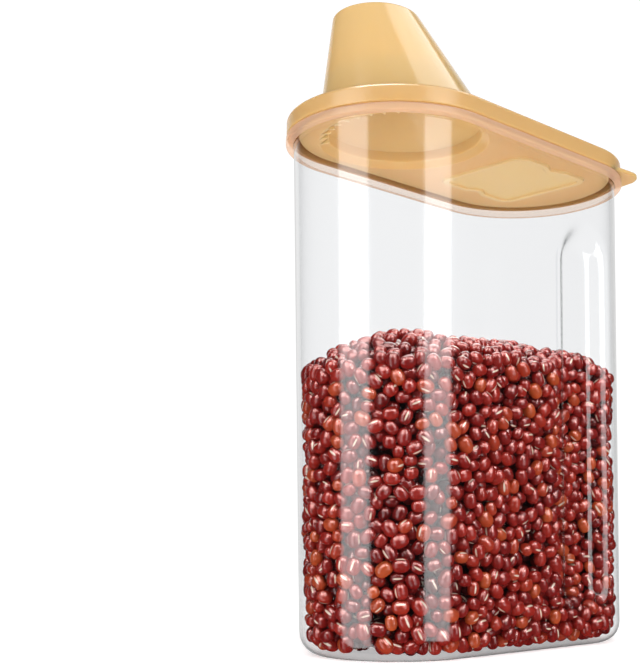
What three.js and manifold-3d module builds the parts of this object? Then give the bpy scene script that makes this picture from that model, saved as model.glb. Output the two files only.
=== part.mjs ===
// Cereal dispenser: a clear oval canister, a press-on lid with a round spout, the lid's silicone seal,
// and a measuring cup that stands upside down over the spout as its cap.
// Millimetres, +Z up. X runs along the oval, with the spout at -X and the finger grip at +X, on the -Y side.
// The origin is the middle of the flat base, at the surface that the canister stands on.
import * as THREE from "three";
import { mergeVertices } from "three/addons/utils/BufferGeometryUtils.js";
import Module from "manifold-3d";

const wasm = await Module();
wasm.setup();

// ---- driving dimensions ----
const RIM_LENGTH = 185; // lid outline along X
const RIM_WIDTH = 95; // lid outline along Y
const LID_TOP = 225; // top edge of the lid rim
const SEGMENTS = 44; // facets round one full turn
const GAP = 0.3; // running gap between pieces that touch
const EDGE = 0.4; // small bevels on moulded edges
const PAST = 0.5; // how far joined or cut shapes are carried past the faces they meet

const WALL = 2.0; // canister wall
const FLOOR = 2.8; // canister floor
const WALL_INSET = 3.2; // canister wall at the mouth, in from the lid outline
const DRAFT = 5.0; // how much narrower each side is at the base
const BASE_ROUND = 9.3; // rounding round the base
const FLANGE_HEIGHT = 3.6; // mouth flange under the lid skirt
const FLANGE_OVERHANG = 0.3; // how far the flange stands out past the skirt
const FLANGE_EDGE = 0.8; // bevels on the flange

const SKIRT_HEIGHT = 7.8;
const SKIRT_WALL = 2.1;
const RIM_THICKNESS = 2.1;
const RIM_ROUND = 1.6; // rounding of the rim's outer top edge
const RIM_INNER_ROUND = 1.2;
const PLUG_OUTER = 7.2; // outside of the lid's plug wall, in from the lid outline
const PLUG_WALL = 1.8;
const PLATE_THICKNESS = 2.5;
const PLATE_DROP = 4.8; // top of the sunken plate, below LID_TOP
const LIP_THICKNESS = 1.2; // lip at the foot of the plug, which holds the seal up
const SEAL_LIP = 0.6; // depth of the groove that leaves the seal two lips

const CUP_X = -39.4; // axis of the cup mouth and of the spout
const CUP_RADIUS = 37.8;
const CUP_TOP_X = -57; // axis of the cup's closed end
const CUP_TOP_RADIUS = 18.8;
const CUP_RISE = 44.2; // closed end above LID_TOP
const CUP_WALL = 1.6;
const CUP_EDGE = 1.4; // rounding of the closed end

const SPOUT_WALL = 1.6;
const SPOUT_RISE = 18; // above LID_TOP
const SPOUT_GAP = 0.5; // between the spout and the cup
const SPOUT_FLARE = 3.5; // how much wider the bore is at the plate's underside
// Ribs in the bore's flare. step is in degrees.
const RIB = { count: 11, step: 10, reach: 1.0, width: 1.1, height: 5 };

// Stiffening panel of the lid's plate: sunk by step on top, outlined by a ridge of the same height below.
// Each long side has a notch in its middle.
const PANEL = {
  x0: 11, x1: 64.5, halfWidth: 26.5, corner: 8, notch: 3, notchHalf: 8, step: 1.0, edge: 1.5, ridge: 3.5,
};
// Lift tab at the grip end, with a blunt, bowed tip. Angles are in degrees.
const TAB = {
  angle: -56, spread: 25, tipAngle: -54, tipHalf: 6, reach: 6.6, bow: 2.6, thickness: 1.8,
};
// Finger grip in the -Y side: a tall arch with sloping sides.
const GRIP = { x: 33.5, halfWidth: 19.5, bottom: 12, top: 188, depth: 7, slope: 12.6 };

// ---- helpers ----
const outlineRadius = RIM_WIDTH / 2;
const reach = (RIM_LENGTH - RIM_WIDTH) / 2;

// A three.js geometry as a solid: shared vertices merged, zero-area triangles dropped.
function solid(geometry) {
  const plain = geometry.clone();
  plain.deleteAttribute("normal");
  plain.deleteAttribute("uv");
  const merged = mergeVertices(plain, 1e-4);
  const index = merged.index.array;
  const triangles = [];
  for (let i = 0; i < index.length; i += 3) {
    const [a, b, c] = [index[i], index[i + 1], index[i + 2]];
    if (a !== b && b !== c && c !== a) triangles.push(a, b, c);
  }
  return new wasm.Manifold(
    new wasm.Mesh({
      numProp: 3,
      vertProperties: new Float32Array(merged.attributes.position.array),
      triVerts: new Uint32Array(triangles),
    }),
  );
}

// Turns a profile of [radius, height] about Z. spread pushes the two halves apart along X, which makes
// an oval; axisAt(height) leans the axis along X. The profile runs outward along the bottom, up and back.
function turned(profile, spread = 0, axisAt = () => 0) {
  const half = Math.PI / SEGMENTS;
  const points = profile.map(([radius, height]) => new THREE.Vector2(radius, height));
  const lathe = new THREE.LatheGeometry(points, SEGMENTS, half);
  lathe.rotateX(Math.PI / 2);
  const position = lathe.attributes.position;
  for (let i = 0; i < position.count; i++) {
    const column = Math.floor(i / points.length);
    const side = Math.sign(Math.sin(half + (2 * Math.PI * column) / SEGMENTS));
    position.setX(i, position.getX(i) + side * spread + axisAt(position.getZ(i)));
  }
  return solid(lathe);
}

// Points of a quarter round of the given radius, from one angle (degrees) to another.
function round(centreRadius, centreHeight, radius, from, to, steps) {
  return Array.from({ length: steps + 1 }, (_, k) => {
    const angle = THREE.MathUtils.degToRad(from + ((to - from) * k) / steps);
    return [centreRadius + radius * Math.cos(angle), centreHeight + radius * Math.sin(angle)];
  });
}

function piece(name, body, material) {
  const { vertProperties, triVerts } = body.getMesh();
  const geometry = new THREE.BufferGeometry();
  geometry.setAttribute("position", new THREE.BufferAttribute(new Float32Array(vertProperties), 3));
  geometry.setIndex(new THREE.BufferAttribute(new Uint32Array(triVerts), 1));
  geometry.computeVertexNormals();
  const mesh = new THREE.Mesh(geometry, material);
  mesh.name = name;
  return mesh;
}

// ---- canister ----
const skirtBottom = LID_TOP - SKIRT_HEIGHT;
const flangeTop = skirtBottom - GAP;
const flangeBottom = flangeTop - FLANGE_HEIGHT;
const lipTop = LID_TOP - RIM_THICKNESS - GAP;
const flangeRadius = outlineRadius + FLANGE_OVERHANG;
const mouthRadius = outlineRadius - WALL_INSET;
const baseRadius = mouthRadius - DRAFT;
const draftAngle = Math.atan(DRAFT / flangeBottom);
const wallRadius = (height) => baseRadius + (DRAFT * height) / flangeBottom;

// An arch-shaped cutter for the finger grip, with sloping sides. inward sets it deeper by that much and
// widens it to keep the wall's thickness, for the inside of the wall.
function gripCutter(inward) {
  const { x, halfWidth, bottom, top, depth, slope } = GRIP;
  const wider = inward * Math.tan(Math.atan(depth / slope) / 2);
  const floorHalf = halfWidth - slope + wider;
  const archHeight = top - halfWidth;
  const arch = new THREE.Shape();
  arch.moveTo(-floorHalf, bottom + slope - wider);
  arch.lineTo(floorHalf, bottom + slope - wider);
  arch.lineTo(floorHalf, archHeight);
  arch.absarc(0, archHeight, floorHalf, 0, Math.PI);
  // The bevel is the sloping side. It is carried past the wall's surface at the same slope.
  const overshoot = 1.6;
  const cutter = new THREE.ExtrudeGeometry(arch, {
    depth: RIM_WIDTH / 4, curveSegments: 9, bevelEnabled: true, bevelSegments: 1,
    bevelSize: slope * overshoot, bevelThickness: depth * overshoot,
  });
  // The extrusion's end is the grip's floor: it is stood up, leaned with the wall and set at its depth.
  cutter.translate(0, 0, depth * overshoot);
  cutter.rotateX(Math.PI / 2);
  cutter.rotateX(draftAngle);
  cutter.translate(x, -(baseRadius - depth - inward), 0);
  return solid(cutter);
}

const outer = turned([
  [0, 0],
  ...round(wallRadius(BASE_ROUND) - BASE_ROUND, BASE_ROUND, BASE_ROUND, -90, 0, 5),
  [mouthRadius, flangeBottom],
  [flangeRadius - FLANGE_EDGE, flangeBottom],
  [flangeRadius, flangeBottom + FLANGE_EDGE],
  [flangeRadius, flangeTop - FLANGE_EDGE],
  [flangeRadius - FLANGE_EDGE, flangeTop],
  [mouthRadius, flangeTop],
  [mouthRadius, lipTop - EDGE],
  [mouthRadius - EDGE, lipTop],
  [0, lipTop],
], reach);
const innerRound = BASE_ROUND - WALL;
const inner = turned([
  [0, FLOOR],
  ...round(wallRadius(FLOOR + innerRound) - WALL - innerRound, FLOOR + innerRound, innerRound, -90, 0, 4),
  [mouthRadius - WALL, flangeBottom],
  [mouthRadius - WALL, LID_TOP],
  [0, LID_TOP],
], reach);
const canister = outer.subtract(gripCutter(0)).subtract(inner.subtract(gripCutter(WALL)));

// ---- lid ----
const plateTop = LID_TOP - PLATE_DROP;
const plateBottom = plateTop - PLATE_THICKNESS;
const plugRadius = outlineRadius - PLUG_OUTER;
const sunkenRadius = plugRadius - PLUG_WALL;
const rimUnderside = LID_TOP - RIM_THICKNESS;
const plugLipRadius = mouthRadius - WALL - GAP;
const plugLipTop = plateBottom + LIP_THICKNESS;

const shell = turned([
  [0, plateBottom],
  [plugLipRadius - EDGE, plateBottom],
  [plugLipRadius, plateBottom + EDGE],
  [plugLipRadius, plugLipTop],
  [plugRadius, plugLipTop],
  [plugRadius, rimUnderside],
  [outlineRadius - SKIRT_WALL, rimUnderside],
  [outlineRadius - SKIRT_WALL, skirtBottom],
  [outlineRadius - EDGE, skirtBottom],
  [outlineRadius, skirtBottom + EDGE],
  ...round(outlineRadius - RIM_ROUND, LID_TOP - RIM_ROUND, RIM_ROUND, 0, 90, 3),
  ...round(sunkenRadius + RIM_INNER_ROUND, LID_TOP - RIM_INNER_ROUND, RIM_INNER_ROUND, 90, 180, 2),
  [sunkenRadius, plateTop],
  [0, plateTop],
], reach);

// The cup leans: its axis and its radius change evenly with height above the rim.
const lean = (height) => Math.max(0, height - LID_TOP) / CUP_RISE;
const cupAxis = (height) => CUP_X + (CUP_TOP_X - CUP_X) * lean(height);
const cupRadius = (height) => CUP_RADIUS + (CUP_TOP_RADIUS - CUP_RADIUS) * lean(height);

// The spout follows the inside of the cup.
const spoutTop = LID_TOP + SPOUT_RISE;
const spoutOuter = (height) => cupRadius(height) - CUP_WALL - SPOUT_GAP;
const spoutInner = (height) => spoutOuter(height) - SPOUT_WALL;
const spout = turned([
  [0, plateBottom + PAST],
  [spoutOuter(plateBottom), plateBottom + PAST],
  [spoutOuter(LID_TOP), LID_TOP],
  [spoutOuter(spoutTop - EDGE), spoutTop - EDGE],
  [spoutOuter(spoutTop) - EDGE, spoutTop],
  [0, spoutTop],
], 0, cupAxis);
const bore = turned([
  [0, plateBottom - PANEL.step - PAST],
  [spoutInner(0) + SPOUT_FLARE, plateBottom - PANEL.step - PAST],
  [spoutInner(0) + SPOUT_FLARE, plateBottom],
  [spoutInner(0), plateTop],
  [spoutInner(LID_TOP), LID_TOP],
  [spoutInner(spoutTop + PAST), spoutTop + PAST],
  [0, spoutTop + PAST],
], 0, cupAxis);

function panelBlock(fromHeight, height, shrink) {
  const { x0, x1, halfWidth, corner, notch, notchHalf } = PANEL;
  const [left, right, w, r] = [x0 + shrink, x1 - shrink, halfWidth - shrink, corner - shrink];
  const middle = (x0 + x1) / 2;
  const shape = new THREE.Shape();
  const notchedSide = (side) => {
    shape.lineTo(middle + side * notchHalf, side * w);
    shape.quadraticCurveTo(middle + (side * notchHalf) / 2, side * w, middle, side * (w - notch));
    shape.quadraticCurveTo(middle - (side * notchHalf) / 2, side * w, middle - side * notchHalf, side * w);
  };
  shape.moveTo(left + r, -w);
  notchedSide(-1);
  shape.lineTo(right - r, -w);
  shape.absarc(right - r, -w + r, r, -Math.PI / 2, 0);
  shape.absarc(right - r, w - r, r, 0, Math.PI / 2);
  notchedSide(1);
  shape.absarc(left + r, w - r, r, Math.PI / 2, Math.PI);
  shape.absarc(left + r, -w + r, r, Math.PI, 1.5 * Math.PI);
  const block = new THREE.ExtrudeGeometry(shape, { depth: height, bevelEnabled: false, curveSegments: 5 });
  return solid(block.translate(0, 0, fromHeight));
}

function liftTab() {
  const { angle, spread, tipAngle, tipHalf, bow, thickness } = TAB;
  const at = (degrees, radius) => {
    const a = THREE.MathUtils.degToRad(degrees);
    return new THREE.Vector2(reach + radius * Math.cos(a), radius * Math.sin(a));
  };
  const root = outlineRadius - SKIRT_WALL / 2;
  const tipRadius = outlineRadius + TAB.reach;
  const start = at(angle - spread, root);
  const end = at(angle + spread, root);
  const near = at(tipAngle - tipHalf, tipRadius);
  const far = at(tipAngle + tipHalf, tipRadius);
  const peak = at(tipAngle, tipRadius + bow);
  const inside = at(angle, root - 2 * SKIRT_WALL);
  const shape = new THREE.Shape();
  shape.moveTo(start.x, start.y);
  shape.lineTo(near.x, near.y);
  shape.quadraticCurveTo(peak.x, peak.y, far.x, far.y);
  shape.lineTo(end.x, end.y);
  shape.quadraticCurveTo(inside.x, inside.y, start.x, start.y);
  const plate = new THREE.ExtrudeGeometry(shape, { depth: thickness, bevelEnabled: false, curveSegments: 6 });
  // Cut back to the skirt, so that nothing reaches into the canister's lip.
  return solid(plate.translate(0, 0, skirtBottom)).subtract(
    turned([[0, skirtBottom - PAST], [root, skirtBottom - PAST], [root, LID_TOP], [0, LID_TOP]], reach),
  );
}

// An upright rib that stands in the bore's flare and reaches a little into the bore.
function flareRib(degrees) {
  const wall = spoutInner(0);
  const top = plateBottom + RIB.height;
  const root = EDGE / 2; // kept inside the solid that the rib stands on
  const outline = new THREE.Shape([
    new THREE.Vector2(wall - RIB.reach, plateBottom + RIB.reach),
    new THREE.Vector2(wall + SPOUT_FLARE - root, plateBottom + root),
    new THREE.Vector2(wall + SPOUT_FLARE - root, plateTop - root),
    new THREE.Vector2(wall + SPOUT_WALL / 2, plateTop),
    new THREE.Vector2(wall + SPOUT_WALL / 2, top),
    new THREE.Vector2(wall - root, top),
  ]);
  const rib = new THREE.ExtrudeGeometry(outline, { depth: RIB.width, bevelEnabled: false });
  rib.translate(0, 0, -RIB.width / 2).rotateX(Math.PI / 2);
  return solid(rib.rotateZ(THREE.MathUtils.degToRad(degrees)).translate(CUP_X, 0, 0));
}

let lid = shell
  .add(panelBlock(plateBottom - PANEL.step, PANEL.step + PAST, 0))
  .subtract(panelBlock(plateBottom - PANEL.step - PAST, PANEL.step + PAST, PANEL.ridge))
  .subtract(panelBlock(plateTop - PANEL.step, PANEL.step + PAST, PANEL.edge))
  .add(spout)
  .subtract(bore)
  .add(liftTab());
for (let k = 0; k < RIB.count; k++) {
  lid = lid.add(flareRib(180 + RIB.step * (k - (RIB.count - 1) / 2)));
}

// ---- lid seal: a silicone ring round the plug, with two lips ----
const sealInner = plugRadius + GAP;
const sealOuter = mouthRadius - WALL - GAP;
const sealBottom = plugLipTop + GAP;
const sealTop = rimUnderside - GAP;
const sealMiddle = (sealBottom + sealTop) / 2;
const seal = turned([
  [sealInner, sealBottom],
  [sealOuter - EDGE, sealBottom],
  [sealOuter, sealBottom + EDGE],
  [sealOuter, sealMiddle - SEAL_LIP],
  [sealOuter - SEAL_LIP, sealMiddle],
  [sealOuter, sealMiddle + SEAL_LIP],
  [sealOuter, sealTop - EDGE],
  [sealOuter - EDGE, sealTop],
  [sealInner, sealTop],
  [sealInner, sealBottom],
], reach);

// ---- measuring cup, mouth down ----
const cupBottom = plateTop + GAP;
const cupTop = LID_TOP + CUP_RISE;
const edgeAngles = [0, 27, 58, 90].map(THREE.MathUtils.degToRad);
const cup = turned([
  [CUP_RADIUS - CUP_WALL, cupBottom],
  [CUP_RADIUS - EDGE, cupBottom],
  [CUP_RADIUS, cupBottom + EDGE],
  [CUP_RADIUS, LID_TOP],
  ...edgeAngles.map((a) => {
    const height = cupTop - CUP_EDGE * (1 - Math.sin(a));
    return [cupRadius(height) - CUP_EDGE * (1 - Math.cos(a)), height];
  }),
  [0, cupTop],
  [0, cupTop - CUP_WALL],
  [cupRadius(cupTop - CUP_WALL) - CUP_WALL, cupTop - CUP_WALL],
  [cupRadius(LID_TOP) - CUP_WALL, LID_TOP],
  [CUP_RADIUS - CUP_WALL, cupBottom],
], 0, cupAxis);

// ---- the assembly ----
const clear = new THREE.MeshStandardMaterial({
  color: 0xeef1f4, roughness: 0.06, metalness: 0, transparent: true, opacity: 0.25,
});
const yellow = new THREE.MeshStandardMaterial({ color: 0xe6be82, roughness: 0.32, metalness: 0 });
const cupYellow = new THREE.MeshStandardMaterial({ color: 0xe8c188, roughness: 0.3, metalness: 0 });
const silicone = new THREE.MeshStandardMaterial({ color: 0xe4d9d6, roughness: 0.55, metalness: 0 });

const group = new THREE.Group();
const lidGroup = new THREE.Group();
lidGroup.add(piece("lid", lid, yellow));
lidGroup.add(piece("lid_seal", seal, silicone));
lidGroup.add(piece("measuring_cup", cup, cupYellow));
group.add(piece("canister", canister, clear), lidGroup);

export default group;
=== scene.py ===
import math

import bmesh
import bpy
import numpy as np
from mathutils import Matrix, Vector, kdtree


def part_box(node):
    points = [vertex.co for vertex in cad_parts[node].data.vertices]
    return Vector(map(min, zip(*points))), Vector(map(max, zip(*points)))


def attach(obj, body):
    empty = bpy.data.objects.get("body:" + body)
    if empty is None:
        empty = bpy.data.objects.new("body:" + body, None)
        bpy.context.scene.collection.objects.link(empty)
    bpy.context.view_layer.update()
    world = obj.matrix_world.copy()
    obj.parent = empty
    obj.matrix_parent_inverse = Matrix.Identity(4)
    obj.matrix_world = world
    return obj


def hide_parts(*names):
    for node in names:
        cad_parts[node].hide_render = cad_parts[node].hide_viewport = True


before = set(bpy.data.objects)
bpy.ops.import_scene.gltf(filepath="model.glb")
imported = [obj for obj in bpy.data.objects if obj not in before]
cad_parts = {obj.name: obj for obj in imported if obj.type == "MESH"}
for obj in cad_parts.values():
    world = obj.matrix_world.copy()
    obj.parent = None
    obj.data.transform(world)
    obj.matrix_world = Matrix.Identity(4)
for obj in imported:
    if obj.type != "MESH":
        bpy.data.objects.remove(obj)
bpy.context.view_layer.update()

# ---- sizes, in metres, repeated from the CAD or read off the frame ----
MM = 0.001
GAP = 0.3 * MM  # between pieces that touch
WALL = 2.0 * MM
FLOOR = 2.8 * MM
BASE_ROUND = 9.3 * MM
DRAFT = 5.0 * MM  # how much narrower each side is at the base
FLANGE_HEIGHT = 3.6 * MM
FLANGE_OVERHANG = 0.3 * MM
WALL_INSET = 3.2 * MM  # canister wall at the mouth, in from the lid's outline
SKIRT_HEIGHT = 7.8 * MM
SKIRT_WALL = 2.1 * MM
RIM_THICKNESS = 2.1 * MM
PLUG_OUTER = 7.2 * MM  # outside of the plug wall, in from the lid's outline
PLUG_WALL = 1.8 * MM
PLATE_THICKNESS = 2.5 * MM
LIP_THICKNESS = 1.2 * MM
SPOUT_RISE = 18 * MM
SPOUT_WALL = 1.6 * MM
SPOUT_GAP = 0.5 * MM
SPOUT_FLARE = 3.5 * MM  # how much wider the bore is at the plate's underside
CUP_WALL = 1.6 * MM
CUP_TOP_RADIUS = 18.8 * MM
CUP_LEAN = 17.6 * MM  # how far the axis leans towards -X over the cup's height

canister_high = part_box("canister")[1]
lid_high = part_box("lid")[1]
seal_low, seal_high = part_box("lid_seal")
cup_low, cup_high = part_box("measuring_cup")

outline_radius = lid_high.y  # round ends of the lid's outline
reach = lid_high.x - lid_high.y  # half of its straight sides
lip_top = canister_high.z
lid_top = lid_high.z - SPOUT_RISE
skirt_bottom = lid_top - SKIRT_HEIGHT
flange_top = skirt_bottom - GAP
flange_bottom = flange_top - FLANGE_HEIGHT
mouth_radius = outline_radius - WALL_INSET
base_radius = mouth_radius - DRAFT
plate_bottom = seal_low.z - GAP - LIP_THICKNESS
plate_top = plate_bottom + PLATE_THICKNESS
plug_radius = outline_radius - PLUG_OUTER
plug_lip_radius = mouth_radius - WALL - GAP
sunken_radius = plug_radius - PLUG_WALL

cup_radius = cup_high.y
cup_x = cup_high.x - cup_radius
cup_rise = cup_high.z - lid_top
spout_top = lid_high.z


# ---- mesh helpers ----
SHARP_EDGE = math.radians(50)  # edges that turn more than this stay sharp
END_STEPS = 72  # faces round each end of an oval
ROUND_STEPS = 168  # faces round the cup and the spout
LONGEST_FACE = 2.5 * MM  # along a profile


def rounded(corners, steps=6):
    """A path of (radius, height) points through corners given as (radius, height, rounding)."""
    path = []
    for k, (x, y, rounding) in enumerate(corners):
        here = Vector((x, y))
        if rounding == 0 or k in (0, len(corners) - 1):
            path.append(here)
            continue
        before = (Vector(corners[k - 1][:2]) - here).normalized()
        after = (Vector(corners[k + 1][:2]) - here).normalized()
        half = before.angle(after) / 2
        centre = (before + after).normalized() / math.sin(half)
        start = (before / math.tan(half) - centre).normalized()
        end = (after / math.tan(half) - centre).normalized()
        for s in range(steps + 1):
            path.append(here + rounding * (centre + start.slerp(end, s / steps)))
    return path


def subdivided(path, step):
    """The same path with its long stretches cut into equal lengths of at most step."""
    out = [path[0]]
    for a, b in zip(path, path[1:]):
        cuts = max(1, math.ceil((b - a).length / step))
        out += [a.lerp(b, k / cuts) for k in range(1, cuts + 1)]
    return out


def oval(arc_steps, side_steps):
    """Columns (centre x, direction x, direction y) once round an oval with straight sides."""
    columns = []
    for side in (1, -1):
        for k in range(arc_steps):
            angle = math.pi * (k / arc_steps - side / 2)
            columns.append((side * reach, math.cos(angle), math.sin(angle)))
        for k in range(side_steps):
            columns.append((side * reach * (1 - 2 * k / side_steps), 0.0, float(side)))
    return columns


def circle(steps):
    """Columns once round a circle."""
    angles = [2 * math.pi * k / steps for k in range(steps)]
    return [(0.0, math.cos(angle), math.sin(angle)) for angle in angles]


def add_ring(bm, radius, height, columns, axis_at):
    """A ring of vertices at one height. axis_at gives the X that it is centred on."""
    lean = axis_at(height)
    return [bm.verts.new((cx + lean + radius * nx, radius * ny, height)) for cx, nx, ny in columns]


def join_rings(bm, low, high):
    """Makes a strip of faces between two rings of vertices and returns the faces."""
    strip = []
    for k in range(len(low)):
        n = (k + 1) % len(low)
        strip.append(bm.faces.new((low[k], low[n], high[n], high[k])))
    return strip


def upright(height):
    """The axis of a piece that doesn't lean."""
    return 0.0


def add_skin(bm, path, columns, axis_at=upright, closed=False):
    """Sweeps a path round the columns and returns its first and last ring of vertices."""
    rings = [add_ring(bm, p.x, p.y, columns, axis_at) for p in path]
    for low, high in zip(rings, rings[1:]):
        join_rings(bm, low, high)
    if closed:
        join_rings(bm, rings[-1], rings[0])
    return rings[0], rings[-1]


def edges_of(ring):
    """The edges that join a ring's vertices."""
    loop = zip(ring, ring[1:] + ring[:1])
    return [next(e for e in a.link_edges if b in e.verts) for a, b in loop]


def fill(bm, *rings):
    """Fills the flat area between rings and returns its faces."""
    edges = [e for ring in rings for e in edges_of(ring)]
    made = bmesh.ops.triangle_fill(bm, use_beauty=True, use_dissolve=False, edges=edges)
    return [g for g in made["geom"] if isinstance(g, bmesh.types.BMFace)]


def finished(bm, name, body, node, materials):
    """Turns the mesh into a smooth-shaded piece that rides on a body and stands for a CAD node."""
    bmesh.ops.recalc_face_normals(bm, faces=bm.faces)
    mesh = bpy.data.meshes.new(name)
    bm.to_mesh(mesh)
    bm.free()
    mesh.polygons.foreach_set("use_smooth", [True] * len(mesh.polygons))
    mesh.set_sharp_from_angle(angle=SHARP_EDGE)
    piece = bpy.data.objects.new(name, mesh)
    bpy.context.scene.collection.objects.link(piece)
    for material in materials:
        mesh.materials.append(material)
    piece.modifiers.new("even_shading", "WEIGHTED_NORMAL").keep_sharp = True
    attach(piece, body)
    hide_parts(node)
    return piece


def staged(name, mesh):
    """Puts a mesh in the scene as dressing, which isn't part of the object."""
    dressing = bpy.data.objects.new(name, mesh)
    bpy.context.scene.collection.objects.link(dressing)
    return dressing


# ---- material helpers ----
def new_material(name):
    """An empty material and its node tree."""
    material = bpy.data.materials.new(name)
    material.use_nodes = True
    material.node_tree.nodes.clear()
    return material, material.node_tree


def feed(tree, socket, value):
    """Links another node's output to a socket, or sets the socket to a value."""
    if isinstance(value, bpy.types.NodeSocket):
        tree.links.new(value, socket)
    else:
        socket.default_value = value


def add_node(tree, kind, inputs=None, **settings):
    """Adds a node. inputs holds a value or another node's output for each input that is set."""
    made = tree.nodes.new(kind)
    for key, value in settings.items():
        setattr(made, key, value)
    for key, value in (inputs or {}).items():
        feed(tree, made.inputs[key], value)
    return made


def calculate(tree, operation, first, second, clamped=False):
    """What a Math node makes of two values, or outputs that give values."""
    made = add_node(tree, "ShaderNodeMath", {0: first, 1: second}, operation=operation, use_clamp=clamped)
    return made.outputs[0]


def noise_at(tree, scale, detail=2.0, source=None):
    """Noise in the object's own coordinates, or in the coordinates of source."""
    place = source or add_node(tree, "ShaderNodeTexCoord").outputs["Object"]
    made = add_node(tree, "ShaderNodeTexNoise", {"Vector": place, "Scale": scale, "Detail": detail})
    return made.outputs["Fac"]


def spread_of(tree, factor, low, high):
    """Maps a factor of 0 to 1 onto low to high."""
    made = add_node(tree, "ShaderNodeMapRange", {"Value": factor, "To Min": low, "To Max": high})
    return made.outputs["Result"]


def blend_colours(tree, factor, first, second):
    """Mixes two colours, or outputs that give colours. A factor of 0 gives the first."""
    made = add_node(tree, "ShaderNodeMix", {0: factor}, data_type="RGBA")
    sockets = [socket for socket in made.inputs if socket.type == "RGBA"]
    feed(tree, sockets[0], first)
    feed(tree, sockets[1], second)
    return next(socket for socket in made.outputs if socket.type == "RGBA")


def blend_shaders(tree, factor, first, second):
    """Mixes two shaders. A factor of 0 gives the first."""
    return add_node(tree, "ShaderNodeMixShader", {0: factor, 1: first, 2: second}).outputs[0]


def surface(tree, shader):
    """Makes a shader the material's surface."""
    output = add_node(tree, "ShaderNodeOutputMaterial")
    tree.links.new(shader, output.inputs["Surface"])


HEAD_ON_GLOSS = 0.045  # how much plastic mirrors when seen square on


def clear_plastic(name, tint, haze, haze_behind, haze_colour, gloss):
    """Clear moulded plastic. What is behind shows through unbent, and gloss grows at grazing angles.

    Only the side that a surface turns outwards is glossy, so the far wall adds no reflections of its own.
    haze is how milky that side is, and haze_behind how milky the other side is.
    """
    material, tree = new_material(name)
    from_behind = add_node(tree, "ShaderNodeNewGeometry").outputs["Backfacing"]
    facing = add_node(tree, "ShaderNodeLayerWeight", {"Blend": 0.5}).outputs["Facing"]
    grazing = calculate(tree, "POWER", facing, 5.0)
    in_front = spread_of(tree, from_behind, 1.0, 0.0)
    mirrored = spread_of(tree, grazing, HEAD_ON_GLOSS * gloss, gloss)
    gloss_share = calculate(tree, "MULTIPLY", mirrored, in_front, clamped=True)
    ripple = add_node(tree, "ShaderNodeBump", {
        "Height": noise_at(tree, 30.0, 1.0), "Strength": 0.08, "Distance": 0.0006,
    }).outputs["Normal"]
    roughness = spread_of(tree, noise_at(tree, 220.0, 3.0), 0.11, 0.15)
    through = add_node(tree, "ShaderNodeBsdfTransparent", {"Color": tint}).outputs[0]
    milk = add_node(tree, "ShaderNodeBsdfDiffuse", {"Color": haze_colour}).outputs[0]
    milkiness = spread_of(tree, from_behind, haze, haze_behind)
    body = blend_shaders(tree, milkiness, through, milk)
    shine = add_node(tree, "ShaderNodeBsdfGlossy", {"Roughness": roughness, "Normal": ripple}).outputs[0]
    surface(tree, blend_shaders(tree, gloss_share, body, shine))
    return material


def dyed_plastic(name, colour, deeper, roughness, translucency):
    """Satin moulded plastic: slight colour drift, fine orange-peel and light carried inside."""
    material, tree = new_material(name)
    drift = blend_colours(tree, noise_at(tree, 24.0, 3.0), colour, deeper)
    peel = add_node(tree, "ShaderNodeBump", {
        "Height": noise_at(tree, 500.0, 1.0), "Strength": 0.01, "Distance": 0.0001,
    }).outputs["Normal"]
    body = add_node(tree, "ShaderNodeBsdfPrincipled", {
        "Base Color": drift,
        "Roughness": spread_of(tree, noise_at(tree, 160.0, 3.0), roughness - 0.02, roughness + 0.02),
        "IOR": 1.49,
        "Subsurface Weight": translucency,
        "Subsurface Radius": (1.0, 0.85, 0.65),
        "Subsurface Scale": 0.006,
        "Normal": peel,
    })
    surface(tree, body.outputs[0])
    return material


def silicone_rubber(name, colour, deeper):
    """Matt, slightly see-through rubber."""
    material, tree = new_material(name)
    drift = blend_colours(tree, noise_at(tree, 40.0, 2.0), colour, deeper)
    body = add_node(tree, "ShaderNodeBsdfPrincipled", {
        "Base Color": drift,
        "Roughness": spread_of(tree, noise_at(tree, 300.0, 2.0), 0.42, 0.55),
        "IOR": 1.41,
        "Subsurface Weight": 0.3,
        "Subsurface Radius": (1.0, 0.8, 0.7),
        "Subsurface Scale": 0.002,
    })
    surface(tree, body.outputs[0])
    return material


WHITE = (1, 1, 1, 1)
CLEAR_HAZE = (0.85, 0.87, 0.9, 1)
clear_outside = clear_plastic(
    "clear_outside", tint=(0.98, 0.982, 0.985, 1),
    haze=0.0005, haze_behind=0.0005, haze_colour=CLEAR_HAZE, gloss=1.7,
)
clear_inside = clear_plastic(
    "clear_inside", tint=(0.97, 0.972, 0.975, 1),
    haze=0.0005, haze_behind=0.0005, haze_colour=CLEAR_HAZE, gloss=0.05,
)
milky_flange = clear_plastic(
    "milky_flange", tint=(0.97, 0.88, 0.80, 1),
    haze=0.48, haze_behind=0.20, haze_colour=(0.82, 0.54, 0.37, 1), gloss=0.4,
)
lid_plastic = dyed_plastic(
    "lid_plastic", colour=(0.64, 0.40, 0.165, 1), deeper=(0.62, 0.385, 0.155, 1),
    roughness=0.26, translucency=0.7,
)
# the panel's plastic is lighter and yellower than the lid's: a painted glow for light let through the thinner
# plastic
thin_lid_plastic_painted_glow = dyed_plastic(
    "thin_lid_plastic_painted_glow", colour=(0.65, 0.465, 0.22, 1), deeper=(0.64, 0.45, 0.21, 1),
    roughness=0.26, translucency=0.7,
)
cup_plastic = dyed_plastic(
    "cup_plastic", colour=(0.68, 0.455, 0.20, 1), deeper=(0.66, 0.44, 0.19, 1),
    roughness=0.15, translucency=0.35,
)
seal_silicone = silicone_rubber(
    "seal_silicone", colour=(0.72, 0.66, 0.64, 1), deeper=(0.6624, 0.6072, 0.5888, 1),
)


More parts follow.
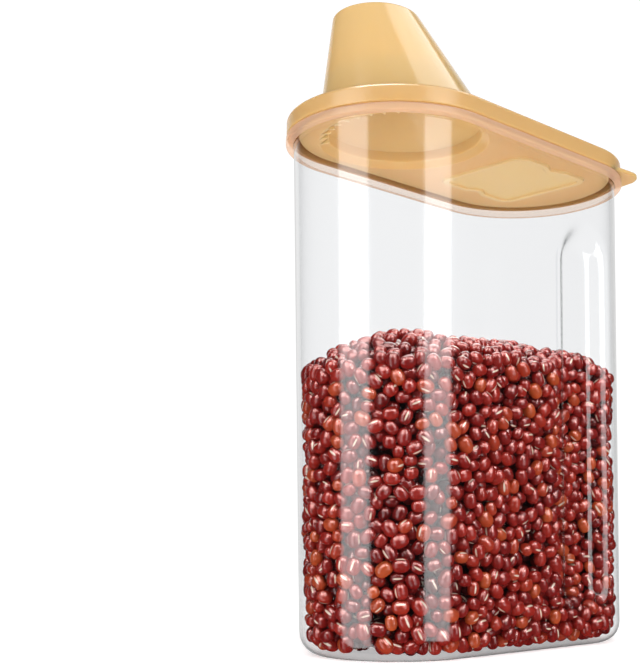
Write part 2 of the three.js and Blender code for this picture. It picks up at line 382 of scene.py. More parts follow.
# ---- canister ----
GRIP_X = 33.5 * MM
GRIP_HALF = 19.5 * MM
GRIP_BOTTOM = 12 * MM
GRIP_TOP = 188 * MM
GRIP_DEPTH = 7 * MM
GRIP_SLOPE = 12.6 * MM
STEP_SLOPE = 1.875  # of smooth_step, halfway
STEEPEST = math.atan(STEP_SLOPE * GRIP_DEPTH / GRIP_SLOPE)  # slope halfway up the grip's side


def smooth_step(t):
    """Goes from 0 to 1 as t does, and is level at both ends."""
    t = np.clip(t, 0, 1)
    return t ** 3 * (t * (6 * t - 15) + 10)


def wall_radius(height):
    """Radius of the outside of the canister's wall, without the rounding at its base."""
    return base_radius + DRAFT * height / flange_bottom


def grip_distance(x, z):
    """Distance from the flat floor of the finger grip, which is a tall arch. Negative on the floor."""
    half = GRIP_HALF - GRIP_SLOPE
    spring_line = GRIP_TOP - GRIP_HALF
    side = np.abs(x - GRIP_X) - half
    foot = GRIP_BOTTOM + GRIP_SLOPE - z
    dome = np.hypot(x - GRIP_X, z - spring_line) - half
    shaft = np.hypot(np.maximum(side, 0), np.maximum(foot, 0)) + np.minimum(np.maximum(side, foot), 0)
    return np.where(z > spring_line, dome, shaft)


def grip_depth(x, z, inward):
    """How far the -Y wall is pressed in. inward is how deep in the wall the point lies.

    The inside of the wall is pressed in over a wider area, which keeps the wall's thickness.
    """
    widened = inward * math.tan(STEEPEST / 2)
    return GRIP_DEPTH * (1 - smooth_step((grip_distance(x, z) - widened) / GRIP_SLOPE))


def press_grip(mesh):
    """Moves the vertices of the -Y wall in at the finger grip."""
    points = np.empty(len(mesh.vertices) * 3)
    mesh.vertices.foreach_get("co", points)
    points = points.reshape(-1, 3)
    x, y, z = points.T
    outside = wall_radius(z)
    across = np.hypot(np.maximum(np.abs(x) - reach, 0), y)
    inward = np.where(across < outside - WALL / 2, WALL, 0.0)
    wall = (y < 0) & (across > outside - 1.5 * WALL) & (z > BASE_ROUND)
    points[wall, 1] += grip_depth(x, z, inward)[wall]
    mesh.vertices.foreach_set("co", points.ravel())
    mesh.update()


OUTSIDE, FLANGE, INSIDE = range(3)  # order of the canister's materials


def canister_part(point):
    """Says which of its materials the canister has at a point on its surface."""
    across = math.hypot(max(abs(point.x) - reach, 0.0), point.y)
    past_wall = mouth_radius + 0.4 * MM
    if across > past_wall:
        return FLANGE
    rounding = BASE_ROUND * max(0, 1 - point.z / BASE_ROUND) ** 2
    wall_middle = wall_radius(point.z) - WALL / 2
    if point.z > FLOOR / 2 and across < wall_middle - rounding:
        return INSIDE
    return OUTSIDE


def build_canister():
    """The clear shell in one piece, with its finger grip pressed in afterwards."""
    base_ring = 6 * MM  # the flat areas inside this are filled
    floor_radius = base_radius - WALL + 0.07 * MM  # the wall leans, so it is a little wider up there
    flange_radius = outline_radius + FLANGE_OVERHANG
    outer = rounded([
        (base_ring, 0, 0),
        (base_radius, 0, BASE_ROUND),
        (mouth_radius, flange_bottom, 0.5 * MM),
        (flange_radius, flange_bottom, 0.9 * MM),
        (flange_radius, flange_top, 0.9 * MM),
        (mouth_radius, flange_top, 0.3 * MM),
        (mouth_radius, lip_top, 0.6 * MM),
        (mouth_radius - WALL / 2, lip_top, 0),
    ])
    inner = rounded([
        (mouth_radius - WALL / 2, lip_top, 0),
        (mouth_radius - WALL, lip_top, 0.6 * MM),
        (mouth_radius - WALL, flange_bottom, 0),
        (floor_radius, FLOOR, BASE_ROUND - WALL),
        (base_ring, FLOOR, 0),
    ])
    path = subdivided(outer + inner[1:], 2.2 * MM)
    columns = oval(END_STEPS, 100)  # fine enough for the grip's slopes
    bm = bmesh.new()
    first, last = add_skin(bm, path, columns)
    fill(bm, first)
    fill(bm, last)
    for face in bm.faces:
        face.material_index = canister_part(face.calc_center_median())
    materials = [clear_outside, milky_flange, clear_inside]
    piece = finished(bm, "canister_shell", "canister", "canister", materials)
    press_grip(piece.data)


# ---- the cup leans, and the spout follows its inside ----
def share_of_cup(z):
    """Height above the lid's rim, as a share of the cup's."""
    return max(0.0, z - lid_top) / cup_rise


def cup_axis(z):
    """X of the axis that the cup and the spout share."""
    return cup_x - CUP_LEAN * share_of_cup(z)


def cup_outer(z):
    """Radius of the cup's outside."""
    return cup_radius + (CUP_TOP_RADIUS - cup_radius) * share_of_cup(z)


def spout_outer(z):
    """Radius of the spout's outside, which fits in the cup."""
    return cup_outer(z) - CUP_WALL - SPOUT_GAP


# ---- lid ----
THIN = 1  # place of the thin panel's plastic in the lid's materials, coloured lighter as a painted glow
PANEL_LEFT = 11 * MM
PANEL_RIGHT = 64.5 * MM
PANEL_HALF = 26.5 * MM
PANEL_CORNER = 8 * MM
PANEL_STEP = 1.0 * MM
PANEL_STEP_ROUND = 0.6 * MM
PANEL_EDGE = 1.5 * MM  # how much smaller the panel is on the plate's top
PANEL_RIDGE = 3.5 * MM  # width of its outline on the plate's underside
NOTCH = 3 * MM
NOTCH_HALF = 8 * MM
NOTCH_STEPS = 12
CORNER_STEPS = 8


def panel_ring(bm, inset, height):
    """A ring of vertices round the lid's stiffening panel, which has a notch in each long side."""
    middle = (PANEL_LEFT + PANEL_RIGHT) / 2
    radius = PANEL_CORNER - inset
    outline = []
    for side in (-1, 1):
        for k in range(-NOTCH_STEPS, NOTCH_STEPS + 1):
            dip = NOTCH * (0.5 + 0.5 * math.cos(math.pi * k / NOTCH_STEPS))
            x = middle - side * NOTCH_HALF * k / NOTCH_STEPS
            outline.append((x, side * (PANEL_HALF - inset - dip)))
        corner_x = PANEL_RIGHT - PANEL_CORNER if side < 0 else PANEL_LEFT + PANEL_CORNER
        for quarter in (0, 1):
            corner_y = side * (PANEL_HALF - PANEL_CORNER) * (1 - 2 * quarter)
            for k in range(CORNER_STEPS + 1):
                angle = math.radians(90 * (side + quarter + k / CORNER_STEPS))
                outline.append((corner_x + radius * math.cos(angle), corner_y + radius * math.sin(angle)))
    return [bm.verts.new((x, y, height)) for x, y in outline]


def add_panel(bm, height, inset, width):
    """A step down in one face of the plate. With a width it is a ridge, and the middle comes back up.

    The panel is thinner than the plate and lets more light through, and its plastic is also coloured lighter
    than the lid's as painted light. Two strips of the plate are made round it. Returns the ring that the
    plate is filled to.
    """
    plate_strips = 2  # level, so that the step's rounding doesn't shade the plate
    step = [
        (-1.4 * MM, 0, 0),
        (-0.8 * MM, 0, 0),
        (0, 0, PANEL_STEP_ROUND),
        (0.4 * MM, -PANEL_STEP, PANEL_STEP_ROUND),
        (1.5 * MM, -PANEL_STEP, 0),
    ]
    if width:
        step += [(width - x, y, rounding) for x, y, rounding in step[3::-1]]
    rings = [panel_ring(bm, inset + p.x, height + p.y) for p in rounded(step, 4)]
    panel = []
    for k, (low, high) in enumerate(zip(rings, rings[1:])):
        strip = join_rings(bm, low, high)
        if k >= plate_strips:
            panel += strip
    # the panel's faces get the lighter plastic, a painted glow
    for face in panel + fill(bm, rings[-1]):
        face.material_index = THIN
    return rings[0]


def add_prism(bm, outline, depth, bevel):
    """A flat plate from an outline of 3-D points, made thick by the vector depth, with rounded edges."""
    face = bm.faces.new([bm.verts.new(p) for p in outline])
    grown = bmesh.ops.extrude_face_region(bm, geom=[face])
    far = [g for g in grown["geom"] if isinstance(g, bmesh.types.BMVert)]
    bmesh.ops.translate(bm, verts=far, vec=depth)
    edges = dict.fromkeys(e for v in list(face.verts) + far for e in v.link_edges)  # each edge once
    bmesh.ops.bevel(bm, geom=list(edges), offset=bevel, segments=2, affect="EDGES", clamp_overlap=True)


RIB_COUNT = 11
RIB_STEP = math.radians(10)
RIB_REACH = 1.0 * MM
RIB_WIDTH = 1.1 * MM
RIB_HEIGHT = 5 * MM
RIB_EDGE = 0.25 * MM


def add_flare_ribs(bm, bore):
    """Upright ribs that stand in the flare of the spout's bore, round its pouring side."""
    root = 0.2 * MM  # keeps the ribs' feet inside the lid
    outline = (
        (bore - RIB_REACH, plate_bottom + RIB_REACH),
        (bore + SPOUT_FLARE - root, plate_bottom + root),
        (bore + SPOUT_FLARE - root, plate_top - root),
        (bore + SPOUT_WALL / 2, plate_top),
        (bore + SPOUT_WALL / 2, plate_bottom + RIB_HEIGHT),
        (bore - root, plate_bottom + RIB_HEIGHT),
    )
    for k in range(RIB_COUNT):
        turn = Matrix.Rotation(math.pi + RIB_STEP * (k - (RIB_COUNT - 1) / 2), 4, "Z")
        place = Matrix.Translation((cup_x, 0, 0)) @ turn
        points = [place @ Vector((x, -RIB_WIDTH / 2, z)) for x, z in outline]
        add_prism(bm, points, turn @ Vector((0, RIB_WIDTH, 0)), RIB_EDGE)


TAB_ANGLE = -56.0  # angles round the lid's +X end, in degrees
TAB_SPREAD = 25.0
TAB_TIP_ANGLE = -54.0
TAB_TIP_HALF = 6.0
TAB_REACH = 6.6 * MM
TAB_BOW = 2.6 * MM
TAB_ROOT = 1 * MM  # how far its root is inside the skirt
TAB_THICKNESS = 1.8 * MM
TAB_EDGE = 0.4 * MM


def add_lift_tab(bm):
    """A small plate at the skirt's foot, for a thumb. Its tip is bowed, and its root follows the skirt."""
    def at(degrees, radius):
        angle = math.radians(degrees)
        return Vector((reach + radius * math.cos(angle), radius * math.sin(angle), skirt_bottom))

    near = at(TAB_TIP_ANGLE - TAB_TIP_HALF, outline_radius + TAB_REACH)
    far = at(TAB_TIP_ANGLE + TAB_TIP_HALF, outline_radius + TAB_REACH)
    peak = at(TAB_TIP_ANGLE, outline_radius + TAB_REACH + TAB_BOW)
    tip = [near * (1 - t) ** 2 + peak * 2 * t * (1 - t) + far * t * t for t in np.linspace(0, 1, 11)]
    turns = [1 - k / 5 for k in range(11)]
    root = [at(TAB_ANGLE + TAB_SPREAD * turn, outline_radius - TAB_ROOT) for turn in turns]
    add_prism(bm, tip + root, Vector((0, 0, TAB_THICKNESS)), TAB_EDGE)


def build_lid():
    """Plate, plug, rim and skirt in one skin, with the spout, the stiffening panel, the ribs and the tab."""
    bm = bmesh.new()
    wall = rounded([
        (plug_lip_radius - 2.4 * MM, plate_bottom, 0),
        (plug_lip_radius - 1.4 * MM, plate_bottom, 0),
        (plug_lip_radius, plate_bottom, 0.5 * MM),
        (plug_lip_radius, plate_bottom + LIP_THICKNESS, 0.3 * MM),
        (plug_radius, plate_bottom + LIP_THICKNESS, 0.2 * MM),
        (plug_radius, lid_top - RIM_THICKNESS, 0.4 * MM),
        (outline_radius - SKIRT_WALL, lid_top - RIM_THICKNESS, 0.4 * MM),
        (outline_radius - SKIRT_WALL, skirt_bottom, 0.5 * MM),
        (outline_radius, skirt_bottom, 0.8 * MM),
        (outline_radius, lid_top, 1.7 * MM),
        (sunken_radius, lid_top, 1.3 * MM),
        (sunken_radius, plate_top, 0.9 * MM),
        (sunken_radius - 1.05 * MM, plate_top, 0),
    ], 7)
    plate_low, plate_high = add_skin(bm, subdivided(wall, LONGEST_FACE), oval(END_STEPS, 30))

    bore = spout_outer(lid_top) - SPOUT_WALL
    throat = rounded([
        (bore + SPOUT_FLARE + 1.4 * MM, plate_bottom, 0),
        (bore + SPOUT_FLARE + 0.8 * MM, plate_bottom, 0),
        (bore + SPOUT_FLARE, plate_bottom, 0.4 * MM),
        (bore, plate_top, 1.2 * MM),
        (bore, lid_top, 0.8 * MM),
        (spout_outer(spout_top) - SPOUT_WALL, spout_top, 0.7 * MM),
        (spout_outer(spout_top), spout_top, 0.7 * MM),
        (spout_outer(lid_top), lid_top, 0.8 * MM),
        (spout_outer(lid_top), plate_top, 0.5 * MM),
        (spout_outer(lid_top) + 0.55 * MM, plate_top, 0),
    ], 5)
    hole_low, hole_high = add_skin(
        bm, subdivided(throat, LONGEST_FACE), circle(ROUND_STEPS), cup_axis,
    )
    fill(bm, plate_low, hole_low, add_panel(bm, plate_bottom, 0.0, PANEL_RIDGE))
    fill(bm, plate_high, hole_high, add_panel(bm, plate_top, PANEL_EDGE, 0.0))
    add_flare_ribs(bm, bore)
    add_lift_tab(bm)
    return finished(bm, "lid_moulding", "lid", "lid", [lid_plastic, thin_lid_plastic_painted_glow])


def build_seal():
    """A ring round the lid's plug, with a groove that leaves it two lips."""
    groove = 0.6 * MM
    inner = plug_radius + GAP
    outer = mouth_radius - WALL - GAP
    middle = (seal_low.z + seal_high.z) / 2
    path = rounded([
        (inner, middle, 0),
        (inner, seal_low.z, 0.3 * MM),
        (outer, seal_low.z, 0.6 * MM),
        (outer, middle - groove, 0.25 * MM),
        (outer - groove, middle, 0.25 * MM),
        (outer, middle + groove, 0.25 * MM),
        (outer, seal_high.z, 0.6 * MM),
        (inner, seal_high.z, 0.3 * MM),
        (inner, middle + 0.2 * MM, 0),
    ], 4)
    bm = bmesh.new()
    add_skin(bm, path, oval(END_STEPS, 24), closed=True)
    return finished(bm, "seal_ring", "lid", "lid_seal", [seal_silicone])


# ---- measuring cup ----
def build_cup():
    """A leaning cone with thick walls, open at its wide end."""
    mouth, top = cup_low.z, cup_high.z
    end_inner = top - CUP_WALL
    outside = rounded([
        (cup_radius - CUP_WALL / 2, mouth, 0),
        (cup_radius, mouth, 0.7 * MM),
        (cup_radius, lid_top, 1.5 * MM),
        (CUP_TOP_RADIUS, top, 1.6 * MM),
        (CUP_TOP_RADIUS - 3 * MM, top, 0),
        (CUP_TOP_RADIUS - 4 * MM, top, 0),
    ], 8)
    inside = rounded([
        (CUP_TOP_RADIUS - 6 * MM, end_inner, 0),
        (CUP_TOP_RADIUS - 4.5 * MM, end_inner, 0),
        (cup_outer(end_inner) - CUP_WALL, end_inner, 1.2 * MM),
        (cup_radius - CUP_WALL, lid_top, 1.5 * MM),
        (cup_radius - CUP_WALL, mouth, 0.7 * MM),
        (cup_radius - CUP_WALL / 2, mouth, 0),
    ], 6)
    columns = circle(ROUND_STEPS)
    bm = bmesh.new()
    _, outer_end = add_skin(bm, subdivided(outside, LONGEST_FACE), columns, cup_axis)
    inner_end, _ = add_skin(bm, subdivided(inside, LONGEST_FACE), columns, cup_axis)
    fill(bm, outer_end)
    fill(bm, inner_end)
    bmesh.ops.remove_doubles(bm, verts=bm.verts, dist=1e-6)
    return finished(bm, "cup_moulding", "cup", "measuring_cup", [cup_plastic])


# ---- beans in the canister: they dress the picture and aren't part of the object ----
BEAN_LENGTH = 6.6 * MM
BEAN_WIDTH = 5.1 * MM
BEAN_PACKING = 0.60  # share of the space that the beans fill
BEAN_DEPTH = 11 * MM  # only beans this close to a wall, the floor or the heap's top are made
BEAN_SEED = 11
BEAN_ROUNDS = 60  # of pushing beans apart
ROUNDS_PER_SEARCH = 6  # how often neighbours are looked up again
BEAN_TINTS = (0.15, 1.0)
BEAN_SIZES = (0.88, 1.12)
BURIED_SHADE = 0.9  # how much of its tint a buried bean loses, as painted shade between the beans
UPRIGHTNESS = 0.8  # below 1, more beans lie than stand
WALL_ALIGNMENT = 0.9  # how far a bean at the wall is turned to lie along it
HEAP_EDGE = 115 * MM  # height of the beans at the wall
HEAP_RISE = 19 * MM  # how much higher they are in the middle
HEAP_SHARPNESS = 2.2  # 1 is a straight slope from the wall to the middle
HEAP_TILT = 0.03  # slope along X
SPOUT_END_TILT = 0.06  # more slope, from SPOUT_END_X towards the spout's end
SPOUT_END_X = -30 * MM
HEAP_WAVE = 1.2 * MM
HEAP_WAVE_X = 95  # radians per metre
HEAP_WAVE_Y = 120
HEAP_WAVE_START = 0.6  # radians


def room_at(points, margin):
    """For each point, the largest distance it may lie from the canister's middle line."""
    z = points[:, 2]
    radius = wall_radius(z) - WALL
    corner = BASE_ROUND - WALL
    sink = np.clip(FLOOR + corner - z, 0, corner - margin)
    return radius - corner + np.sqrt((corner - margin) ** 2 - sink ** 2)


def from_middle(points):
    """Offset in plan from the canister's middle line, as a vector and a length."""
    offset = points[:, :2].copy()
    offset[:, 0] -= np.clip(points[:, 0], -reach, reach)
    return offset, np.maximum(np.linalg.norm(offset, axis=1), 1e-9)


def heap_height(points):
    """Height of the beans' top: a long mound that falls towards the walls and towards the spout's end."""
    x, y = points[:, 0], points[:, 1]
    inset = 1 - from_middle(points)[1] / mouth_radius
    waves = np.sin(x * HEAP_WAVE_X) * np.cos(y * HEAP_WAVE_Y + HEAP_WAVE_START)
    mound = HEAP_RISE * (1 - (1 - inset) ** HEAP_SHARPNESS)
    tilt = HEAP_TILT * x + SPOUT_END_TILT * np.minimum(x - SPOUT_END_X, 0)
    return HEAP_EDGE + mound + tilt + HEAP_WAVE * waves


def space_to_wall(points, margin):
    """How much further from the middle line each point may go, with the finger grip taken off."""
    pressed = np.where(points[:, 1] < 0, grip_depth(points[:, 0], points[:, 2], WALL), 0.0)
    return room_at(points, margin) - pressed - from_middle(points)[1]


def keep_inside(points, margin):
    """Moves the points into the layer of beans next to the walls, the floor and the top."""
    points[:, 2] = np.clip(points[:, 2], FLOOR + margin, heap_height(points) - margin)
    offset, length = from_middle(points)
    room = length + space_to_wall(points, margin)
    deep = (points[:, 2] < heap_height(points) - BEAN_DEPTH) & (points[:, 2] > FLOOR + BEAN_DEPTH)
    least = np.where(deep, room + margin - BEAN_DEPTH, 0.0)
    wanted = np.clip(length, least, room)
    points[:, :2] += offset * (wanted / length - 1)[:, None]


def neighbours(points, distance):
    """Indices of all pairs of points that are within a distance of each other."""
    tree = kdtree.KDTree(len(points))
    for k, point in enumerate(points):
        tree.insert(point, k)
    tree.balance()
    pairs = []
    for k, point in enumerate(points):
        pairs += [(k, n) for _, n, _ in tree.find_range(point, distance) if n > k]
    return np.array(pairs).T


def push_apart(points, axes, rounds):
    """Moves beans that overlap away from each other."""
    half_width = BEAN_WIDTH / 2
    stretch = (BEAN_LENGTH / BEAN_WIDTH) ** 2 - 1
    for step in range(rounds):
        if step % ROUNDS_PER_SEARCH == 0:
            one, two = neighbours(points, BEAN_LENGTH)
        gap = points[one] - points[two]
        distance = np.maximum(np.linalg.norm(gap, axis=1), 1e-7)
        direction = gap / distance[:, None]
        needed = 0.0
        for bean in (one, two):
            along = np.sum(direction * axes[bean], axis=1)
            needed = needed + half_width * np.sqrt(1 + stretch * along ** 2)
        push = direction * (0.5 * np.maximum(needed - distance, 0))[:, None]
        np.add.at(points, one, push)
        np.add.at(points, two, -push)
        keep_inside(points, half_width)


def scatter_beans():
    """Centres, long axes, hilum directions, tints and sizes of beans settled against the walls.

    Beans at the wall mostly lie along it. Buried beans get a dark tint, which is painted shade.
    """
    rng = np.random.default_rng(BEAN_SEED)
    low = np.array((-reach - mouth_radius, -mouth_radius, FLOOR))
    high = np.array((reach + mouth_radius, mouth_radius, HEAP_EDGE + HEAP_RISE))
    bean_volume = math.pi / 6 * BEAN_LENGTH * BEAN_WIDTH ** 2
    tries = int(np.prod(high - low) * BEAN_PACKING / bean_volume)
    points = rng.uniform(low, high, (tries, 3))
    moved = points.copy()
    keep_inside(moved, BEAN_WIDTH / 4)
    points = points[np.linalg.norm(points - moved, axis=1) < 1e-6]
    axes = rng.normal(size=points.shape)
    axes[:, 2] *= UPRIGHTNESS
    offset, length = from_middle(points)
    outward = np.column_stack((offset / length[:, None], np.zeros(len(points))))
    at_wall = (length > room_at(points, BEAN_WIDTH / 2) - BEAN_WIDTH / 2)[:, None]
    axes -= np.where(at_wall, WALL_ALIGNMENT, 0.0) * outward * np.sum(axes * outward, axis=1)[:, None]
    axes /= np.linalg.norm(axes, axis=1)[:, None]
    push_apart(points, axes, BEAN_ROUNDS)
    side = np.cross(axes, rng.normal(size=points.shape))
    side /= np.linalg.norm(side, axis=1)[:, None]
    # beans far from the wall and the heap's top are darkened: painted shade between the beans
    depth = np.minimum(space_to_wall(points, BEAN_WIDTH / 2), heap_height(points) - points[:, 2])
    buried = np.clip(depth / BEAN_WIDTH, 0, 1)
    tints = rng.uniform(*BEAN_TINTS, len(points)) * (1 - BURIED_SHADE * buried)
    sizes = rng.uniform(*BEAN_SIZES, len(points))
    return points, axes, side, tints, sizes


def bean_template():
    """A plump, slightly square bean lying along X, with its hilum facing +Z."""
    bm = bmesh.new()
    bmesh.ops.create_icosphere(bm, subdivisions=3, radius=1.0)
    ball = np.array([v.co for v in bm.verts])
    faces = np.array([[v.index for v in f.verts] for f in bm.faces])
    bm.free()
    half = np.array((BEAN_LENGTH, BEAN_WIDTH, BEAN_WIDTH)) / 2
    squareness = 2.5  # 2 is an ellipsoid
    size = np.sum(np.abs(ball) ** squareness, axis=1) ** (-1 / squareness)
    return ball * size[:, None] * half, faces


def build_bean_core():
    """A dark column behind the layer of beans, painted shade for deeper beans, so that no light shows through
    between them.
    """
    radius = base_radius - BEAN_DEPTH - 2 * MM
    bottom = Vector((radius, FLOOR + BEAN_WIDTH))
    top = Vector((radius, HEAP_EDGE - BEAN_WIDTH))
    bm = bmesh.new()
    for ring in add_skin(bm, [bottom, top], oval(24, 1)):
        bm.faces.new(ring)
    mesh = bpy.data.meshes.new("bean_core")
    bm.to_mesh(mesh)
    bm.free()
    material, tree = new_material("bean_shade")
    # near-black reds: painted shade of the beans deeper in
    shade = blend_colours(tree, noise_at(tree, 200.0), (0.030, 0.002, 0.002, 1), (0.010, 0.001, 0.001, 1))
    surface(tree, add_node(tree, "ShaderNodeBsdfDiffuse", {"Color": shade}).outputs[0])
    mesh.materials.append(material)
    staged("bean_core", mesh)


BEAN_REDS = (  # tint, and the colour that it gives
    # the lowest tints, which only buried beans reach, give painted shade
    (0.0, (0.050, 0.002, 0.003, 1)),
    (0.2, (0.205, 0.007, 0.006, 1)),
    (0.75, (0.335, 0.018, 0.010, 1)),
    (1.0, (0.470, 0.075, 0.018, 1)),
)
HILUM_COLOUR = (0.80, 0.66, 0.52, 1)
HILUM_LENGTH = 0.27 * BEAN_LENGTH  # half of the line's length and width
HILUM_WIDTH = 0.075 * BEAN_WIDTH
HILUM_BLUR = 0.15  # of its edge, as a share of its size


def hilum_mask(tree, place):
    """1 on a short line along the bean's +Z side and 0 elsewhere."""
    parts = add_node(tree, "ShaderNodeSeparateXYZ", {0: place})
    along = calculate(tree, "MULTIPLY", parts.outputs["X"], 1 / HILUM_LENGTH)
    across = calculate(tree, "MULTIPLY", parts.outputs["Y"], 1 / HILUM_WIDTH)
    flat = add_node(tree, "ShaderNodeCombineXYZ", {"X": along, "Y": across})
    out = add_node(tree, "ShaderNodeVectorMath", {0: flat.outputs[0]}, operation="LENGTH")
    line = add_node(tree, "ShaderNodeMapRange", {
        "Value": out.outputs["Value"],
        "From Min": 1 + HILUM_BLUR, "From Max": 1 - HILUM_BLUR, "To Min": 0.0, "To Max": 1.0,
    })
    upper = calculate(tree, "GREATER_THAN", parts.outputs["Z"], 0.0)
    return calculate(tree, "MULTIPLY", line.outputs[0], upper)


def bean_skin():
    """Glossy dark red skin: each bean has its own red, darkened as painted shade where it is buried, a pale
    hilum line and faint mottling.
    """
    material, tree = new_material("bean_skin")
    place = add_node(tree, "ShaderNodeAttribute", attribute_name="in_bean").outputs["Vector"]
    tint = add_node(tree, "ShaderNodeAttribute", attribute_name="tint").outputs["Fac"]
    ramp = add_node(tree, "ShaderNodeValToRGB", {"Fac": tint})
    stops = ramp.color_ramp.elements
    stops.remove(stops[1])
    stops[0].color = BEAN_REDS[0][1]
    for position, red in BEAN_REDS[1:]:
        stops.new(position).color = red
    mottle = noise_at(tree, 420.0, 3.0, place)
    shade = add_node(tree, "ShaderNodeHueSaturation", {
        "Color": ramp.outputs["Color"], "Value": spread_of(tree, mottle, 0.75, 1.25),
    }).outputs[0]
    wrinkle = add_node(tree, "ShaderNodeBump", {
        "Height": noise_at(tree, 900.0, 2.0, place), "Strength": 0.15, "Distance": 0.0002,
    }).outputs[0]
    skin = add_node(tree, "ShaderNodeBsdfPrincipled", {
        "Base Color": blend_colours(tree, hilum_mask(tree, place), shade, HILUM_COLOUR),
        "Roughness": spread_of(tree, mottle, 0.18, 0.27),
        "IOR": 1.5,
        "Normal": wrinkle,
    })
    surface(tree, skin.outputs[0])
    return material


def dress_with_beans():
    """Makes all the beans as one mesh, which remembers each bean's tint, with its painted shade, and where in
    its bean a point is.
    """
    points, axes, side, tints, sizes = scatter_beans()
    template, faces = bean_template()
    turn = np.stack((axes, np.cross(side, axes), side), axis=1)
    corners = points[:, None, :] + sizes[:, None, None] * (template @ turn)
    count, per_bean = len(points), len(template)
    all_faces = (faces[None] + per_bean * np.arange(count)[:, None, None]).reshape(-1, 3)
    mesh = bpy.data.meshes.new("beans")
    mesh.vertices.add(count * per_bean)
    mesh.vertices.foreach_set("co", corners.ravel())
    mesh.loops.add(all_faces.size)
    mesh.loops.foreach_set("vertex_index", all_faces.ravel())
    mesh.polygons.add(len(all_faces))
    mesh.polygons.foreach_set("loop_start", np.arange(0, all_faces.size, 3))
    mesh.update(calc_edges=True)
    mesh.polygons.foreach_set("use_smooth", np.ones(len(all_faces), dtype=bool))
    tint = mesh.attributes.new("tint", "FLOAT", "POINT")
    tint.data.foreach_set("value", np.repeat(tints, per_bean))
    in_bean = mesh.attributes.new("in_bean", "FLOAT_VECTOR", "POINT")
    in_bean.data.foreach_set("vector", np.tile(template, (count, 1)).ravel())
    mesh.materials.append(bean_skin())
    return staged("beans", mesh)


# ---- camera, floor and light ----
CAMERA_AT = (-0.3882, -0.3329, 0.0470)
CAMERA_HEADING = math.radians(45.08)  # from +Y towards +X
CAMERA_TILT = math.radians(10.13)  # upwards


def make_camera():
    """The camera stands low, off the spout's end, and looks slightly up."""
    data = bpy.data.cameras.new("camera")
    data.sensor_width = 36
    data.lens = 62.1
    data.shift_x = -0.0905
    camera = bpy.data.objects.new("camera", data)
    camera.location = CAMERA_AT
    level = math.cos(CAMERA_TILT)
    aim = Vector((
        math.sin(CAMERA_HEADING) * level, math.cos(CAMERA_HEADING) * level, math.sin(CAMERA_TILT),
    ))
    camera.rotation_mode = "QUATERNION"
    camera.rotation_quaternion = aim.to_track_quat("-Z", "Y")
    bpy.context.scene.collection.objects.link(camera)
    bpy.context.scene.camera = camera


def add_softbox(name, azimuth, elevation, distance, size, radiance, target, seen_by, colour=WHITE[:3],
                only=None):
    """A panel of light that faces the point target, from the given direction and distance.

    seen_by is "gloss", "diffuse" or "both": the kind of shading that it lights. only is the one piece that it
    lights, where it doesn't light everything.
    """
    data = bpy.data.lights.new(name, "AREA")
    data.shape = "RECTANGLE"
    data.size, data.size_y = size
    data.energy = radiance * math.pi * data.size * data.size_y
    data.color = colour
    light = bpy.data.objects.new(name, data)
    turn = math.radians(azimuth)
    lift = math.radians(elevation)
    away = Vector((math.cos(turn) * math.cos(lift), math.sin(turn) * math.cos(lift), math.sin(lift)))
    light.location = Vector(target) + away * distance
    light.rotation_mode = "QUATERNION"
    light.rotation_quaternion = away.to_track_quat("Z", "Y")
    light.visible_camera = False
    light.visible_diffuse = seen_by != "gloss"
    light.visible_glossy = seen_by != "diffuse"
    bpy.context.scene.collection.objects.link(light)
    if only:
        lit = bpy.data.collections.new(name + "_receivers")
        lit.objects.link(only)
        light.light_linking.receiver_collection = lit


STUDIO_LIGHT = 0.54  # how bright the studio is as light
STUDIO_SEEN = 1.05  # and as background
FLOOR_GLOW = 0.7
FLOOR_GLOW_SEEN = 0.54  # with the light that it reflects, this comes to STUDIO_SEEN


def make_world():
    """An even white studio. Glossy surfaces see a dark room with one bright backdrop."""
    world = bpy.data.worlds.new("studio")
    world.use_nodes = True
    tree = world.node_tree
    tree.nodes.clear()
    backdrop_way = Vector((1, 1, 0.5)).normalized()
    heading = add_node(tree, "ShaderNodeTexCoord").outputs["Generated"]
    towards = add_node(
        tree, "ShaderNodeVectorMath", {0: heading, 1: backdrop_way}, operation="DOT_PRODUCT",
    ).outputs["Value"]
    backdrop = add_node(tree, "ShaderNodeMapRange", {
        "Value": towards, "From Min": 0.72, "From Max": 0.88, "To Min": 0.0, "To Max": 0.9,
    }).outputs["Result"]
    rays = add_node(tree, "ShaderNodeLightPath").outputs
    strength = spread_of(tree, rays["Is Camera Ray"], STUDIO_LIGHT, STUDIO_SEEN)
    studio = add_node(tree, "ShaderNodeBackground", {"Color": WHITE, "Strength": strength})
    mirrored = add_node(tree, "ShaderNodeBackground", {"Color": WHITE, "Strength": backdrop})
    both = blend_shaders(tree, rays["Is Glossy Ray"], studio.outputs[0], mirrored.outputs[0])
    add_node(tree, "ShaderNodeOutputWorld", {"Surface": both})
    bpy.context.scene.world = world


PINK = (1.0, 0.76, 0.70)
MIDDLE = (0, 0, 0.13)


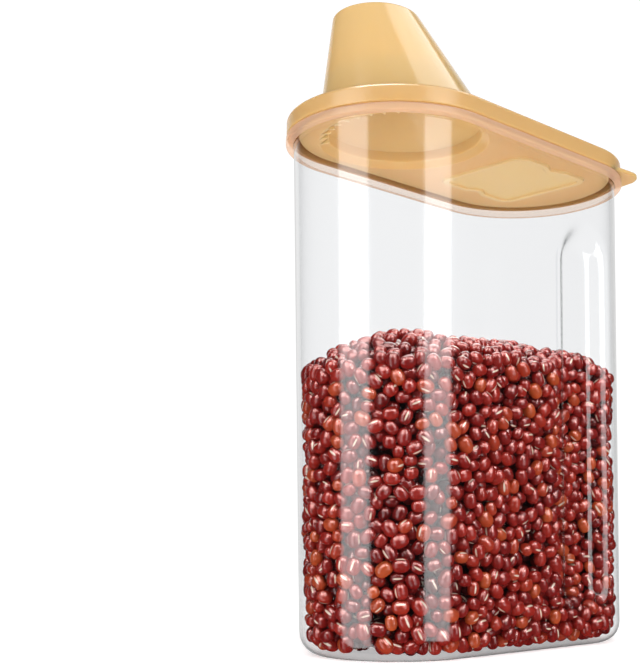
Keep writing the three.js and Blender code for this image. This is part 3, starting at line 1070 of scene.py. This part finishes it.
def add_shared_lights():
    """The softboxes that the walls and the lid mirror, the key light, and light let through by the lid."""
    add_softbox(
        "end_softbox", azimuth=176.5, elevation=0, distance=0.8, size=(0.52, 1.52), radiance=4.3,
        target=(-0.084, -0.015, -0.14), seen_by="gloss",
    )
    add_softbox(
        "side_softbox", azimuth=-87.5, elevation=0, distance=0.8, size=(0.47, 0.88), radiance=4.3,
        target=(-0.062, -0.038, 0.18), seen_by="gloss",
    )
    add_softbox(
        "cup_softbox", azimuth=-62, elevation=52, distance=0.8, size=(1.0, 0.32), radiance=4.0,
        target=(-0.04, 0, 0.25), seen_by="gloss",
    )
    add_softbox(
        "key_softbox", azimuth=-135, elevation=44, distance=1.2, size=(0.50, 0.50), radiance=7.6,
        target=MIDDLE, seen_by="diffuse",
    )
    add_softbox(
        "under_lid_fill", azimuth=0, elevation=-90, distance=0.015, size=(0.15, 0.07), radiance=0.42,
        target=(0, 0, plate_bottom), seen_by="diffuse",
    )
    add_softbox(
        "spout_fill", azimuth=0, elevation=-90, distance=0.005, size=(0.05, 0.05), radiance=0.7,
        target=(cup_x, 0, plate_top), seen_by="diffuse",
    )


def add_piece_lights(beans, lid, cup):
    """Softboxes that light one piece each, so that the clear walls don't mirror them."""
    add_softbox(
        "bean_softbox_left", azimuth=-168, elevation=46, distance=1.0, size=(0.90, 0.90), radiance=15.0,
        target=MIDDLE, seen_by="gloss", colour=PINK, only=beans,
    )
    add_softbox(
        "bean_softbox_right", azimuth=-98, elevation=38, distance=1.0, size=(0.70, 0.70), radiance=18.0,
        target=MIDDLE, seen_by="gloss", colour=PINK, only=beans,
    )
    add_softbox(
        "heap_fill", azimuth=0, elevation=90, distance=0.05, size=(0.15, 0.06), radiance=6.0,
        target=(0, 0, 0.15), seen_by="both", only=beans,
    )
    add_softbox(
        "rim_softbox", azimuth=-160, elevation=62, distance=1.0, size=(0.60, 0.60), radiance=18.0,
        target=MIDDLE, seen_by="gloss", only=lid,
    )
    add_softbox(
        "cup_fill", azimuth=-175, elevation=-3, distance=0.8, size=(0.40, 0.20), radiance=1.3,
        target=(cup_x, 0, lid_top), seen_by="diffuse", only=cup,
    )


def make_floor():
    """A pale floor that glows a little. Seen directly, its far edge is as bright as the world behind it."""
    bm = bmesh.new()
    bmesh.ops.create_circle(bm, cap_ends=True, radius=12.0, segments=96)
    mesh = bpy.data.meshes.new("floor")
    bm.to_mesh(mesh)
    bm.free()
    material, tree = new_material("pale_floor")
    tone = blend_colours(tree, noise_at(tree, 3.0, 2.0), (0.93, 0.93, 0.93, 1), (0.96, 0.96, 0.96, 1))
    matt = add_node(tree, "ShaderNodeBsdfDiffuse", {"Color": tone})
    rays = add_node(tree, "ShaderNodeLightPath").outputs
    strength = spread_of(tree, rays["Is Camera Ray"], FLOOR_GLOW, FLOOR_GLOW_SEEN)
    glow = add_node(tree, "ShaderNodeEmission", {"Color": WHITE, "Strength": strength})
    lit = add_node(tree, "ShaderNodeAddShader", {0: matt.outputs[0], 1: glow.outputs[0]})
    surface(tree, lit.outputs[0])
    mesh.materials.append(material)
    floor = staged("floor", mesh)
    floor.visible_glossy = False


build_canister()
lid = build_lid()
build_seal()
cup = build_cup()
beans = dress_with_beans()
build_bean_core()
make_camera()
make_world()
add_shared_lights()
add_piece_lights(beans, lid, cup)
make_floor()
bpy.context.scene.view_settings.view_transform = "Standard"
